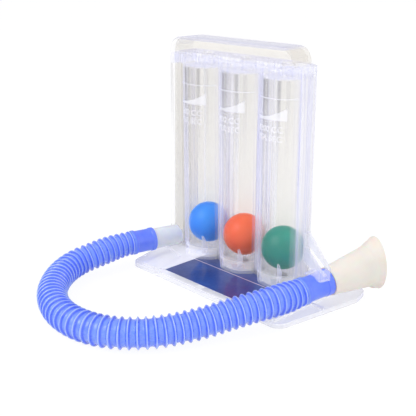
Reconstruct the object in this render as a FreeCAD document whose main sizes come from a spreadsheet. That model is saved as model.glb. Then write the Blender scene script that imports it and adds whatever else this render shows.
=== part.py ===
import FreeCAD, Part
import math
import os
import re
import Sketcher
from FreeCAD import Placement, Rotation, Vector

# Incentive spirometer with three balls, in millimetres.
# X runs along the row of columns, +Y is the back, +Z is up.
# The origin is on the table, on the axis of the middle column.

DRIVING = {
    "column_pitch": 35.0,
    "column_radius": 17.0,
    "column_wall": 1.8,
    "column_edge": 16.0,
    "ceiling_drop": 6.4,
    "ball_radius": 14.25,
    "ball_rest": 29.6,
    "fit_gap": 0.3,
    "platform_top": 7.0,
    "head_height": 11.0,
    "head_top": 158.0,
    "seam_ahead": 5.0,
    "face_ahead": 9.7,
    "back_depth": 11.6,
    "shell_wall": 1.6,
    "duct_left_low": 66.0,
    "duct_left_high": 62.5,
    "duct_inner": 55.5,
    "block_right_low": 52.5,
    "block_right_high": 51.9,
    "head_right": 43.0,
    "shoulder_round": 8.4,
    "shoulder_lap": 0.1,
    "cut_margin": 1.0,
    "back_round": 8.4,
    "corner_round": 9.2,
    "rim_round": 1.2,
    "column_round": 2.4,
    "groove_radius": 4.2,
    "chamber_radius": 6.8,
    "orifice_radius": 4.2,
    "fin_count": 6.0,
    "fin_thick": 1.4,
    "seat_floor": 1.4,
    "seat_hole": 4.5,
    "foot_setback": 0.5,
    "port_floor": 9.4,
    "port_height": 4.4,
    "port_near": 12.0,
    "port_far": 46.0,
    "base_front": 46.0,
    "base_back": 34.0,
    "base_left": 73.5,
    "base_right": 82.0,
    "base_thick": 3.2,
    "base_round": 8.0,
    "base_wall": 1.8,
    "base_rib": 6.0,
    "step_height": 5.0,
    "step_left": 56.0,
    "step_right": 68.0,
    "platform_left": 36.0,
    "platform_right": 62.0,
    "label_left": 31.0,
    "label_right": 38.0,
    "label_front": 44.6,
    "label_back": 10.0,
    "label_thick": 0.4,
    "nozzle_across": 58.3,
    "nozzle_height": 16.5,
    "nozzle_radius": 7.2,
    "nozzle_bore": 6.0,
    "nozzle_length": 26.0,
    "nozzle_angle": 13.8,
    "boss_margin": 1.0,
    "boss_proud": 1.0,
    "cuff_length": 16.0,
    "cuff_overlap": 7.0,
    "cuff_radius": 7.9,
    "cuff_bore": 7.35,
    "lip_radius": 8.3,
    "lip_length": 2.2,
    "collar_radius": 8.6,
    "collar_length": 1.6,
    "hose_radius": 9.6,
    "mouth_cuff": 19.5,
    "mouth_lip": 4.0,
    "mouth_across": 74.8,
    "mouth_ahead": 4.0,
    "mouth_height": 19.4,
    "mouth_swing": 13.1,
    "mouth_tilt": 6.5,
    "spigot_radius": 7.1,
    "spigot_length": 10.0,
    "mouth_neck": 9.0,
    "mouth_mid": 31.0,
    "mouth_mid_tall": 14.0,
    "mouth_mid_wide": 9.6,
    "mouth_flare": 34.0,
    "mouth_end": 39.2,
    "mouth_end_tall": 18.2,
    "mouth_end_wide": 10.3,
    "mouth_wall": 1.5,
    "holder_top": 44.5,
    "holder_low": 26.0,
    "holder_back": 3.4,
    "holder_gap": 1.0,
    "holder_fall": 8.4,
    "holder_thick": 1.8,
    "holder_width": 7.0,
    "holder_ring": 2.0,
    "holder_seat": 4.6,
    "holder_cover": 6.4,
    "holder_tall": 14.0,
    "holder_bar": 8.0,
    "hose_lead": 9.0,
}

# The hose runs from the nozzle cuff to the mouthpiece cuff, through these points.
HOSE_ROUTE = [
    (-70.9, -72.0, 14.5),
    (-74.0, -90.0, 11.2),
    (-64.0, -109.5, 9.8),
    (-43.0, -128.0, 9.65),
    (-15.0, -138.0, 9.65),
    (14.0, -134.5, 9.65),
    (36.0, -117.0, 9.65),
    (49.0, -90.0, 10.6),
    (58.5, -66.0, 14.2),
    (66.0, -46.0, 16.2),
]

doc = FreeCAD.newDocument("IncentiveSpirometer")
sheet = doc.addObject("Spreadsheet::Sheet", "Sizes")
for row, (alias, number) in enumerate(DRIVING.items(), start=1):
    sheet.set(f"A{row}", alias)
    sheet.set(f"B{row}", str(number))
    sheet.setAlias(f"B{row}", alias)
# Two levels that follow from the top of the head.
LEVELS = {
    "head_floor": "=head_top - head_height",
    "ceiling": "=head_floor - ceiling_drop",
}
for row, (alias, formula) in enumerate(LEVELS.items(), start=len(DRIVING) + 1):
    sheet.set(f"A{row}", alias)
    sheet.set(f"B{row}", formula)
    sheet.setAlias(f"B{row}", alias)
doc.recompute()

FUNCTIONS = ("sin", "cos", "tan", "sqrt")


def cells(text):
    """An expression in which each plain name is a cell of the sheet."""
    return re.sub(r"[a-z][a-z_]+", lambda m: m[0] if m[0] in FUNCTIONS else "Sizes." + m[0], text)


def size(text):
    """The present value of an expression of cells."""
    result = sheet.evalExpression(cells(text))
    return float(getattr(result, "Value", result))


def new_body(label):
    body = doc.addObject("PartDesign::Body", label)
    body.Label = label
    return body


def new_sketch(body, role, lift="0"):
    """A sketch on one of the body's own origin planes, lifted along the plane's normal."""
    plane = next(p for p in body.Origin.OriginFeatures if p.Role == role)
    sketch = body.newObject("Sketcher::SketchObject", body.Label + "_sketch")
    sketch.AttachmentSupport = [(plane, "")]
    sketch.MapMode = "FlatFace"
    if lift != "0":
        sketch.setExpression("AttachmentOffset.Base.z", cells(lift))
    return sketch


def hold(sketch, kind, *where, text):
    """A constraint whose value is bound to the sheet."""
    index = sketch.addConstraint(Sketcher.Constraint(kind, *where, size(text)))
    sketch.setExpression(f"Constraints[{index}]", cells(text))


def place_point(sketch, curve, end, across, up):
    hold(sketch, "DistanceX", -1, 1, curve, end, text=across)
    hold(sketch, "DistanceY", -1, 1, curve, end, text=up)


def add_polygon(sketch, corners):
    """A closed outline through corners, each an (across, up) pair of expressions."""
    points = [Vector(size(across), size(up), 0) for across, up in corners]
    first = sketch.GeometryCount
    count = len(points)
    for k in range(count):
        sketch.addGeometry(Part.LineSegment(points[k], points[(k + 1) % count]), False)
    for k in range(count):
        sketch.addConstraint(Sketcher.Constraint("Coincident", first + k, 2, first + (k + 1) % count, 1))
    for k, (across, up) in enumerate(corners):
        place_point(sketch, first + k, 1, across, up)


def add_circle(sketch, across, up, radius):
    circle = Part.Circle(Vector(size(across), size(up), 0), Vector(0, 0, 1), size(radius))
    curve = sketch.addGeometry(circle, False)
    place_point(sketch, curve, 3, across, up)
    hold(sketch, "Radius", curve, text=radius)


def add_segment(sketch, across, radius, chord, side):
    """A round outline about (across, 0) on one side of the chord line, closed by the chord."""
    centre = Vector(size(across), 0, 0)
    reach = size(radius)
    tip = math.asin(size(chord) / reach)
    start, end = (tip, math.pi - tip) if side > 0 else (math.pi - tip, 2 * math.pi + tip)
    circle = Part.Circle(centre, Vector(0, 0, 1), reach)
    arc = sketch.addGeometry(Part.ArcOfCircle(circle, start, end), False)
    ends = [centre + Vector(reach * math.cos(a), reach * math.sin(a), 0) for a in (end, start)]
    line = sketch.addGeometry(Part.LineSegment(*ends), False)
    sketch.addConstraint(Sketcher.Constraint("Coincident", arc, 2, line, 1))
    sketch.addConstraint(Sketcher.Constraint("Coincident", line, 2, arc, 1))
    sketch.addConstraint(Sketcher.Constraint("Horizontal", line))
    place_point(sketch, arc, 3, across, "0")
    hold(sketch, "Radius", arc, text=radius)
    hold(sketch, "DistanceY", -1, 1, line, 1, text=chord)


def pad(body, sketch, length, reverse=False, middle=False):
    feature = body.newObject("PartDesign::Pad", body.Label + "_pad")
    feature.Profile = sketch
    feature.setExpression("Length", cells(length))
    feature.Reversed = reverse
    feature.Midplane = middle
    sketch.Visibility = False
    return feature


def pocket(body, sketch, length, reverse=False, middle=False):
    feature = body.newObject("PartDesign::Pocket", body.Label + "_pocket")
    feature.Profile = sketch
    feature.setExpression("Length", cells(length))
    feature.Reversed = reverse
    feature.Midplane = middle
    sketch.Visibility = False
    return feature


def round_edges(body, radius, wanted):
    """Rounds the edges of the body's last feature for which wanted(edge) is true."""
    doc.recompute()
    base = body.Tip
    names = [f"Edge{i}" for i, edge in enumerate(base.Shape.Edges, start=1) if wanted(edge)]
    fillet = body.newObject("PartDesign::Fillet", body.Label + "_fillet")
    fillet.Base = (base, names)
    fillet.setExpression("Radius", cells(radius))
    return fillet


def is_straight(edge, axis):
    """True for a straight edge that runs along the axis."""
    if len(edge.Vertexes) != 2:
        return False
    chord = edge.Vertexes[1].Point - edge.Vertexes[0].Point
    return abs(chord.Length - edge.Length) < 1e-6 and abs(abs(chord.dot(axis)) - chord.Length) < 1e-6


def is_column_rim(edge):
    """True for the arc round the top of a column front."""
    box = edge.BoundBox
    at_top = near(box.ZMin, "head_floor") and near(box.ZMax, "head_floor")
    return at_top and near(box.YMin, "-column_radius")


def near(value, text):
    return abs(value - size(text)) < 0.01


COLUMNS = {"left": -1, "middle": 0, "right": 1}
ALONG_Y = Vector(0, 1, 0)


def duct_hollow():
    """The passage inside the duct and the head, with its two top corners cut off."""
    low_left, top_left, top_right, right_low, inner_high, inner_low = duct_outline("shell_wall")
    cut = "0.5 * corner_round"
    return [
        low_left, (top_left[0], f"{top_left[1]} - {cut}"), (f"{top_left[0]} + {cut}", top_left[1]),
        (f"{top_right[0]} - {cut}", top_right[1]), (top_right[0], f"{top_right[1]} - {cut}"),
        right_low, inner_high, inner_low,
    ]


def duct_outline(inset="0"):
    """The left duct and the head above the columns, as one bent passage, drawn in by inset."""
    return [
        (f"-duct_left_low + {inset}", f"platform_top + {inset}"),
        (f"-duct_left_high + {inset}", f"head_top - {inset}"),
        (f"head_right - {inset}", f"head_top - {inset}"),
        (f"head_right - {inset}", f"head_floor + {inset}"),
        (f"-duct_inner - {inset}", f"head_floor + {inset}"),
        (f"-duct_inner - {inset}", f"platform_top + {inset}"),
    ]


def block_corners():
    """The right side of the column block, from its foot to the shoulder under the head."""
    return [
        ("block_right_low", "platform_top"),
        ("block_right_high", "head_floor"),
        ("head_right", "head_floor"),
    ]


def round_shoulder(body, depth, reverse=False):
    """Cuts the square shoulder beside the head to a round one, seen from the front."""
    across, up = "block_right_high + shoulder_lap - shoulder_round", "head_floor - shoulder_round"
    radius, beyond = size("shoulder_round"), size("shoulder_round + cut_margin")
    centre = Vector(size(across), size(up), 0)
    sketch = new_sketch(body, "XZ_Plane", "seam_ahead")
    arc = sketch.addGeometry(Part.ArcOfCircle(Part.Circle(centre, Vector(0, 0, 1), radius), 0, math.pi / 2), False)
    corners = [centre + Vector(x, z, 0) for x, z in (
        (0, radius), (0, beyond), (beyond, beyond), (beyond, 0), (radius, 0))]
    lines = [sketch.addGeometry(Part.LineSegment(*pair), False) for pair in zip(corners, corners[1:])]
    sketch.addConstraint(Sketcher.Constraint("Coincident", arc, 2, lines[0], 1))
    for before, after in zip(lines, lines[1:]):
        sketch.addConstraint(Sketcher.Constraint("Coincident", before, 2, after, 1))
    sketch.addConstraint(Sketcher.Constraint("Coincident", lines[-1], 2, arc, 1))
    for line, kind in zip(lines, ("Vertical", "Horizontal", "Vertical", "Horizontal")):
        sketch.addConstraint(Sketcher.Constraint(kind, line))
    place_point(sketch, arc, 3, across, up)
    hold(sketch, "Radius", arc, text="shoulder_round")
    place_point(sketch, lines[1], 2, "block_right_high + shoulder_lap + cut_margin", "head_floor + cut_margin")
    hold(sketch, "DistanceX", -1, 1, lines[0], 1, text=across)
    hold(sketch, "DistanceY", -1, 1, lines[-1], 1, text=up)
    pocket(body, sketch, depth, reverse=reverse)


def round_head_corners(body):
    """Rounds the two top corners of the head, seen from the front."""
    round_edges(body, "corner_round", lambda edge: is_straight(edge, ALONG_Y)
                and near(edge.CenterOfMass.z, "head_top"))


def is_front_rim(edge):
    """True for an edge round the outside of the front face, not along its recess."""
    box = edge.BoundBox
    in_face = near(box.YMin, "-face_ahead") and near(box.YMax, "-face_ahead")
    return in_face and not near(box.ZMax, "head_floor") and not near(box.XMax, "-duct_inner")


def make_front_shell():
    body = new_body("front_shell")
    web = new_sketch(body, "XZ_Plane", "seam_ahead")
    add_polygon(web, block_corners() + [("-duct_inner - 1", "head_floor"), ("-duct_inner - 1", "platform_top")])
    pad(body, web, "shell_wall")
    round_shoulder(body, "2 * shell_wall", reverse=True)
    columns = new_sketch(body, "XY_Plane", "column_edge")
    for k in COLUMNS.values():
        add_segment(columns, f"{k} * column_pitch", "column_radius", "-seam_ahead", -1)
    pad(body, columns, "head_floor - column_edge")
    round_edges(body, "column_round", is_column_rim)
    face = new_sketch(body, "XZ_Plane", "seam_ahead")
    add_polygon(face, duct_outline())
    pad(body, face, "face_ahead - seam_ahead")
    round_head_corners(body)
    round_edges(body, "rim_round", is_front_rim)
    boss = new_sketch(body, "XZ_Plane", "seam_ahead")
    add_circle(boss, "-nozzle_across", "nozzle_height", "nozzle_radius + boss_margin")
    pad(body, boss, "face_ahead + boss_proud - seam_ahead")
    hollow = new_sketch(body, "XZ_Plane", "seam_ahead")
    add_polygon(hollow, duct_hollow())
    pocket(body, hollow, "face_ahead - seam_ahead - shell_wall", reverse=True)
    bores = new_sketch(body, "XY_Plane", "platform_top")
    for k in COLUMNS.values():
        add_circle(bores, f"{k} * column_pitch", "0", "column_radius - column_wall")
    pocket(body, bores, "ceiling - platform_top", reverse=True)
    chambers = new_sketch(body, "XY_Plane", "ceiling + shell_wall")
    for k in COLUMNS.values():
        add_circle(chambers, f"{k} * column_pitch", "0", "chamber_radius")
    pocket(body, chambers, "head_floor - ceiling - 2 * shell_wall", reverse=True)
    outlet = new_sketch(body, "XZ_Plane", "seam_ahead")
    add_circle(outlet, "-nozzle_across", "nozzle_height", "nozzle_bore")
    pocket(body, outlet, "face_ahead + boss_proud - seam_ahead", reverse=True)
    return body


def make_rear_shell():
    body = new_body("rear_shell")
    back = new_sketch(body, "XZ_Plane", "seam_ahead")
    outline = duct_outline()[:3] + block_corners()[::-1]
    add_polygon(back, outline)
    pad(body, back, "seam_ahead + back_depth", reverse=True)
    round_head_corners(body)
    round_edges(body, "back_round", lambda edge: near(edge.BoundBox.YMin, "back_depth")
                and edge.BoundBox.XMin > size("block_right_high") - 0.1)
    round_shoulder(body, "2 * seam_ahead + 2 * back_depth")
    bulges = new_sketch(body, "XY_Plane", "platform_top")
    for k in COLUMNS.values():
        add_segment(bulges, f"{k} * column_pitch", "column_radius", "seam_ahead", 1)
    pad(body, bulges, "head_floor - platform_top")
    hollow = new_sketch(body, "XZ_Plane", "seam_ahead")
    add_polygon(hollow, duct_hollow())
    pocket(body, hollow, "seam_ahead + back_depth - shell_wall")
    bores = new_sketch(body, "XY_Plane", "platform_top + shell_wall")
    for k in COLUMNS.values():
        add_circle(bores, f"{k} * column_pitch", "0", "column_radius - column_wall")
    pocket(body, bores, "ceiling - platform_top - shell_wall", reverse=True)
    chambers = new_sketch(body, "XY_Plane", "ceiling + shell_wall")
    for k in COLUMNS.values():
        add_circle(chambers, f"{k} * column_pitch", "0", "chamber_radius")
    pocket(body, chambers, "head_floor - ceiling - 2 * shell_wall", reverse=True)
    orifices = new_sketch(body, "XY_Plane", "ceiling - 1")
    for k in COLUMNS.values():
        add_circle(orifices, f"{k} * column_pitch", "0", "orifice_radius")
    pocket(body, orifices, "head_floor + 2 * shell_wall - ceiling + 1", reverse=True)
    grooves = new_sketch(body, "XY_Plane", "platform_top")
    for k in (-1, 1):
        add_circle(grooves, f"{k} * column_pitch / 2", "back_depth + 1", "groove_radius")
    pocket(body, grooves, "head_floor - platform_top", reverse=True)
    return body


def make_seat(name, k):
    """A floor with sloping fins that stops the ball just above the air ports."""
    body = new_body("seat_" + name)
    floor = new_sketch(body, "XY_Plane")
    add_circle(floor, "0", "0", "column_radius - column_wall - fit_gap")
    add_circle(floor, "0", "0", "seat_hole")
    pad(body, floor, "seat_floor")
    fin = new_sketch(body, "XZ_Plane")
    rim = "column_radius - column_wall - fit_gap"
    slope = "ball_rest - platform_top - shell_wall - (ball_radius + fit_gap) * sqrt(2)"
    add_polygon(fin, [("seat_hole + 0.4", "0.2"), (f"{rim} - 0.1", "0.2"),
                      (f"{rim} - 0.1", f"{rim} - 0.1 + {slope}"), ("seat_hole + 0.4", f"seat_hole + 0.4 + {slope}")])
    blade = pad(body, fin, "fin_thick", middle=True)
    ring = body.newObject("PartDesign::PolarPattern", body.Label + "_fins")
    ring.Originals = [blade]
    ring.Axis = (floor, ["N_Axis"])
    ring.Angle = 360
    ring.setExpression("Occurrences", cells("fin_count"))
    body.Tip = ring
    body.setExpression("Placement.Base.x", cells(f"{k} * column_pitch"))
    body.setExpression("Placement.Base.z", cells("platform_top + shell_wall"))
    return body


def make_foot(name, k):
    """The short ring under a column's front edge, with the two air ports in it."""
    body = new_body("inlet_foot_" + name)
    ring = new_sketch(body, "XY_Plane")
    add_circle(ring, "0", "0", "column_radius - foot_setback")
    add_circle(ring, "0", "0", "column_radius - column_wall")
    pad(body, ring, "column_edge - platform_top")
    rear = new_sketch(body, "XY_Plane")
    add_polygon(rear, [("-2 * column_radius", "-seam_ahead - shell_wall"), ("2 * column_radius", "-seam_ahead - shell_wall"),
                       ("2 * column_radius", "2 * column_radius"), ("-2 * column_radius", "2 * column_radius")])
    pocket(body, rear, "column_edge - platform_top", reverse=True)
    ports = new_sketch(body, "XY_Plane", "port_floor - platform_top")
    reach = "1.3 * column_radius"
    for side in ("", "-"):
        add_polygon(ports, [(f"{side}0.1", "-0.2"),
                            (f"{side}{reach} * sin(port_near)", f"-{reach} * cos(port_near)"),
                            (f"{side}{reach} * sin(port_far)", f"-{reach} * cos(port_far)")])
    pocket(body, ports, "port_height", reverse=True)
    body.setExpression("Placement.Base.x", cells(f"{k} * column_pitch"))
    body.setExpression("Placement.Base.z", cells("platform_top"))
    return body


def make_ball(name, k):
    ball = doc.addObject("Part::Sphere", "ball_" + name)
    ball.Label = "ball_" + name
    ball.setExpression("Radius", cells("ball_radius"))
    ball.setExpression("Placement.Base.x", cells(f"{k} * column_pitch"))
    ball.setExpression("Placement.Base.z", cells("ball_rest"))
    return ball


def base_outline(inset="0"):
    """The stand seen from above: straight at the front, swept out to both sides."""
    return [
        (f"-base_left + 8 + {inset}", f"-base_front + {inset}"),
        (f"base_right - 9.5 - {inset}", f"-base_front + {inset}"),
        (f"base_right - {inset}", "base_back - 16"),
        (f"base_right - 4 - {inset}", f"base_back - {inset}"),
        (f"-base_left + 10 + {inset}", f"base_back - {inset}"),
        (f"-base_left + {inset}", "-base_back / 2"),
    ]


def make_base():
    body = new_body("base_plate")
    plate = new_sketch(body, "XY_Plane")
    add_polygon(plate, base_outline())
    pad(body, plate, "base_thick")
    round_edges(body, "base_round", lambda edge: is_straight(edge, Vector(0, 0, 1)))
    step = new_sketch(body, "XY_Plane")
    add_polygon(step, [("-step_left", "-base_front + 1.5"), ("step_right", "-base_front + 1.5"),
                       ("step_right", "base_back - 6"), ("-step_left - 4", "base_back - 6"),
                       ("-step_left - 4", "-base_front / 2")])
    pad(body, step, "step_height")
    platform = new_sketch(body, "XY_Plane")
    add_polygon(platform, [("-platform_left", "-base_front + 0.8"), ("platform_right", "-base_front + 0.8"),
                           ("platform_right", "base_back - 10"), ("-duct_left_low - 1.5", "base_back - 10"),
                           ("-duct_left_low - 1.5", "-face_ahead - 3"), ("-platform_left - 7", "-face_ahead - 10")])
    pad(body, platform, "platform_top")
    under = new_sketch(body, "XY_Plane")
    front = ("-base_front + 0.8 + base_wall", "-base_rib / 2")
    back = ("base_rib / 2", "base_back - 10 - base_wall")
    for west, east, (south, north) in (("-platform_left - 4", "-base_rib / 2", front),
                                       ("base_rib / 2", "platform_right - base_wall", front),
                                       ("-duct_left_low", "-base_rib / 2", back),
                                       ("base_rib / 2", "platform_right - base_wall", back)):
        add_polygon(under, [(west, south), (east, south), (east, north), (west, north)])
    pocket(body, under, "base_thick", reverse=True)
    recess = new_sketch(body, "XY_Plane", "platform_top - label_thick")
    add_polygon(recess, [("-label_left - 0.1", "-label_front - 0.1"), ("label_right + 0.1", "-label_front - 0.1"),
                         ("label_right + 0.1", "label_back + 0.1"), ("-label_left - 0.1", "label_back + 0.1")])
    pocket(body, recess, "2 * label_thick", reverse=True)
    rib = new_sketch(body, "XY_Plane")
    add_polygon(rib, [("step_right - 1", "-face_ahead - 1.5"), ("base_right - 4", "-face_ahead - 1.5"),
                      ("base_right - 4", "-face_ahead"), ("step_right - 1", "-face_ahead")])
    pad(body, rib, "step_height")
    return body


def make_label():
    """The printed card that lies in the platform's recess, left bare."""
    card = doc.addObject("Part::Box", "base_label")
    card.Label = "base_label"
    card.setExpression("Length", cells("label_left + label_right"))
    card.setExpression("Width", cells("label_front + label_back"))
    card.setExpression("Height", cells("label_thick"))
    card.setExpression("Placement.Base.x", cells("-label_left"))
    card.setExpression("Placement.Base.y", cells("-label_front"))
    card.setExpression("Placement.Base.z", cells("platform_top - label_thick"))
    return card


def nozzle_way():
    """The direction in which the nozzle leaves the duct."""
    angle = math.radians(size("nozzle_angle"))
    return Vector(-math.sin(angle), -math.cos(angle), 0)


def mouth_way():
    """The direction in which the mouthpiece points."""
    swing = math.radians(size("mouth_swing"))
    tilt = math.radians(size("mouth_tilt"))
    return Vector(math.sin(swing) * math.cos(tilt), math.cos(swing) * math.cos(tilt), math.sin(tilt))


def nozzle_root():
    """Where the nozzle's axis meets the face of its boss."""
    return Vector(-size("nozzle_across"), -size("face_ahead + boss_proud"), size("nozzle_height"))


def mouth_root():
    """The centre of the mouthpiece cuff's lip."""
    return Vector(size("mouth_across"), -size("mouth_ahead"), size("mouth_height"))


def put_along(thing, point, way):
    """Places a thing made along its own Z with its origin at point and its Z along way."""
    thing.Placement = Placement(point, Rotation(Vector(0, 0, 1), way))


def make_nozzle():
    """A frosted stub, cut square to the boss that it stands on."""
    way = nozzle_way()
    root = nozzle_root()
    start = root - way * size("nozzle_radius")
    length = size("nozzle_length + nozzle_radius")
    tube = Part.makeCylinder(size("nozzle_radius"), length, start, way)
    bore = Part.makeCylinder(size("nozzle_bore"), length, start, way)
    behind = Part.makeBox(60, 40, 60, Vector(root.x - 30, root.y, root.z - 30))
    nozzle = doc.addObject("Part::Feature", "nozzle")
    nozzle.Label = "nozzle"
    nozzle.Shape = tube.cut(bore).cut(behind)
    return nozzle


def make_cuff(name, lip, way, length, flare):
    """A plain soft sleeve at one end of the hose: collar, barrel and lip, turned about its axis."""
    body = new_body("cuff_" + name)
    profile = new_sketch(body, "XZ_Plane")
    add_polygon(profile, [
        ("cuff_bore", "0"), ("lip_radius", "0"), ("lip_radius", f"-{flare}"), ("cuff_radius", f"-{flare} - 0.5"),
        ("cuff_radius", f"-{length} + collar_length + 0.5"), ("collar_radius", f"-{length} + collar_length"),
        ("collar_radius", f"-{length}"), ("cuff_bore", f"-{length}"),
    ])
    turn = body.newObject("PartDesign::Revolution", body.Label + "_turn")
    turn.Profile = profile
    turn.ReferenceAxis = (profile, ["V_Axis"])
    turn.Angle = 360
    profile.Visibility = False
    put_along(body, lip, way)
    return body


def hose_ends():
    """The centres of the two cuff ends that the hose starts and ends on."""
    out = nozzle_root() + nozzle_way() * size("nozzle_length - cuff_overlap + cuff_length")
    back = mouth_root() - mouth_way() * size("mouth_cuff")
    return out, back


def hose_line():
    """The straight runs and tangent arcs of the hose's middle line."""
    start, end = hose_ends()
    first = start + nozzle_way() * size("hose_lead")
    last = end - mouth_way() * size("hose_lead")
    points = [start, first] + [Vector(*p) for p in HOSE_ROUTE] + [last, end]
    edges = []
    radii = []
    here = points[0]
    for before, corner, after in zip(points, points[1:], points[2:]):
        coming = (corner - before).normalize()
        going = (after - corner).normalize()
        half = coming.getAngle(going) / 2
        back = 0.45 * min((corner - before).Length, (after - corner).Length)
        if half < 0.001:
            continue
        radii.append(back / math.tan(half))
        near_end = corner - coming * back
        far_end = corner + going * back
        inward = (going - coming).normalize()
        middle = corner + inward * (radii[-1] / math.cos(half) - radii[-1])
        edges.append(Part.LineSegment(here, near_end).toShape())
        edges.append(Part.Arc(near_end, middle, far_end).toShape())
        here = far_end
    edges.append(Part.LineSegment(here, points[-1]).toShape())
    print("hose radii", [round(r, 1) for r in radii])
    return Part.Wire(edges)


def make_hose():
    line = hose_line()
    start = hose_ends()[0]
    ring = Part.Wire([Part.makeCircle(size("hose_radius"), start, nozzle_way())])
    hose = doc.addObject("Part::Feature", "hose")
    hose.Label = "hose"
    hose.Shape = line.makePipeShell([ring], True, True)
    section = math.pi * size("hose_radius") ** 2
    print("hose length", round(line.Length, 1), "volume ratio", round(hose.Shape.Volume / section / line.Length, 4))
    return hose


def oval(name, tall, wide, ahead):
    """One upright oval section of the mouthpiece, across its own Z axis."""
    ring = doc.addObject("Part::Ellipse", name)
    ring.setExpression("MajorRadius", cells(tall))
    ring.setExpression("MinorRadius", cells(wide))
    ring.setExpression("Placement.Base.z", cells(ahead))
    return ring


def loft_through(name, sections):
    rings = [oval(f"{name}_oval_{k}", *section) for k, section in enumerate(sections)]
    loft = doc.addObject("Part::Loft", name)
    loft.Sections = rings
    loft.Solid = True
    loft.Ruled = True
    return loft


def round_bar(name, radius, start, length):
    bar = doc.addObject("Part::Cylinder", name)
    bar.setExpression("Radius", cells(radius))
    bar.setExpression("Height", cells(length))
    bar.setExpression("Placement.Base.z", cells(start))
    return bar


def make_mouthpiece():
    """A round spigot that turns in its cuff, opening into an upright oval with a rolled lip."""
    outer = loft_through("mouth_outer", [
        ("mouth_neck", "mouth_neck", "fit_gap"),
        ("mouth_mid_tall", "mouth_mid_wide", "mouth_mid"),
        ("mouth_end_tall - 2.1", "mouth_end_wide - 0.9", "mouth_flare"),
        ("mouth_end_tall", "mouth_end_wide", "mouth_end"),
    ])
    spigot = round_bar("mouth_spigot", "spigot_radius", "-spigot_length", "spigot_length + 2 * fit_gap")
    solid = doc.addObject("Part::MultiFuse", "mouth_solid")
    solid.Shapes = [outer, spigot]
    inner = loft_through("mouth_inner", [
        ("spigot_radius - mouth_wall", "spigot_radius - mouth_wall", "2 * mouth_wall"),
        ("mouth_mid_tall - mouth_wall", "mouth_mid_wide - mouth_wall", "mouth_mid"),
        ("mouth_end_tall - 1.4 * mouth_wall", "mouth_end_wide - 1.4 * mouth_wall", "mouth_end + 0.5"),
    ])
    bore = round_bar("mouth_bore", "spigot_radius - mouth_wall", "-spigot_length - 1", "spigot_length + 2 * mouth_wall + 1.5")
    tools = doc.addObject("Part::MultiFuse", "mouth_tools")
    tools.Shapes = [inner, bore]
    mouthpiece = doc.addObject("Part::Cut", "mouthpiece")
    mouthpiece.Label = "mouthpiece"
    mouthpiece.Base = solid
    mouthpiece.Tool = tools
    way = mouth_way()
    upright = (Vector(0, 0, 1) - way * way.z).normalize()
    side = way.cross(upright)
    mouthpiece.Placement = Placement(mouth_root(), Rotation(upright, side * -1, way, "ZXY"))
    return mouthpiece


def upright_plate(near_point, far_point, near_span, far_span, thick):
    """An upright plate between two places, each with the heights that the plate has there."""
    outward = Vector(far_point.x - near_point.x, far_point.y - near_point.y, 0).normalize()
    across = Vector(0, 0, 1).cross(outward) * thick
    corners = [Vector(point.x, point.y, height) for point, height in (
        (near_point, near_span[0]), (near_point, near_span[1]), (far_point, far_span[1]), (far_point, far_span[0]))]
    return Part.Face(Part.makePolygon(corners + corners[:1])).extrude(across)


def make_holder():
    """The side bracket: a wall pad, two falling bars, an end plate and a cap over the cuff."""
    way = mouth_way()
    side = way.cross(Vector(0, 0, 1)).normalize()
    width = size("holder_width")
    thick = size("holder_thick")
    seat = mouth_root() - way * (size("holder_seat") + width)
    room = size("cuff_radius + fit_gap")
    ring = Part.makeCylinder(room + size("holder_ring"), width, seat, way)
    cover = seat.z + size("holder_cover")
    crest = seat.z + size("holder_tall")
    wall = size("block_right_low + fit_gap")
    back, gap = size("holder_back"), size("holder_gap")
    low, top = size("holder_low"), size("holder_top")
    front_top = top - size("holder_fall")
    wall_pad = Part.makeBox(thick, gap + 2 * thick, top - low, Vector(wall, back - gap - 2 * thick, low))
    outer = side * size("cuff_radius")
    far_front = seat + outer
    far_back = seat + way * (width - thick) + outer
    inner = wall + thick / 2
    back_bar = upright_plate(Vector(inner, back - thick, 0), far_back, (top - size("holder_bar"), top),
                             (crest - thick, crest), thick)
    front_bar = upright_plate(Vector(inner, back - gap - 2 * thick, 0), far_front, (low, front_top),
                              (cover, crest - thick), thick)
    end_plate = upright_plate(far_front, seat + way * width + outer, (cover, crest - thick), (cover, crest), thick)
    clearance = Part.makeCylinder(room, 4 * width, seat - way * width, way)
    below = Part.makeBox(60, 60, 40, Vector(seat.x - 30, seat.y - 30, cover - 40))
    bracket = ring.fuse([front_bar, back_bar, end_plate]).cut(below).fuse(wall_pad).cut(clearance)
    holder = doc.addObject("Part::Feature", "tube_holder")
    holder.Label = "tube_holder"
    holder.Shape = bracket.removeSplitter()
    return holder


def build_all():
    parts = [make_base(), make_label(), make_front_shell(), make_rear_shell()]
    for name, k in COLUMNS.items():
        parts += [make_seat(name, k), make_foot(name, k), make_ball(name, k)]
    out_lip = nozzle_root() + nozzle_way() * size("nozzle_length - cuff_overlap")
    parts.append(make_nozzle())
    parts.append(make_cuff("nozzle", out_lip, nozzle_way() * -1, "cuff_length", "lip_length"))
    parts.append(make_hose())
    parts.append(make_cuff("mouthpiece", mouth_root(), mouth_way(), "mouth_cuff", "mouth_lip"))
    parts.append(make_mouthpiece())
    parts.append(make_holder())
    doc.recompute()
    return parts


def write_steps(parts):
    os.makedirs("parts", exist_ok=True)
    broken = [thing.Name for thing in doc.Objects if "Invalid" in thing.State or "Error" in thing.State]
    if broken:
        raise RuntimeError(f"these features failed: {broken}")
    for part in parts:
        shape = part.Shape
        if "Invalid" in part.State or "Error" in part.State or shape.isNull() or not shape.isValid():
            raise RuntimeError(f"{part.Label} is not a valid solid: {part.State}")
        print(part.Label, "solids", len(shape.Solids), "volume", round(shape.Volume, 1), shape.BoundBox)
        shape.exportStep(os.path.join("parts", part.Label + ".step"))


write_steps(build_all())
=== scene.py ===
import math

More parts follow.
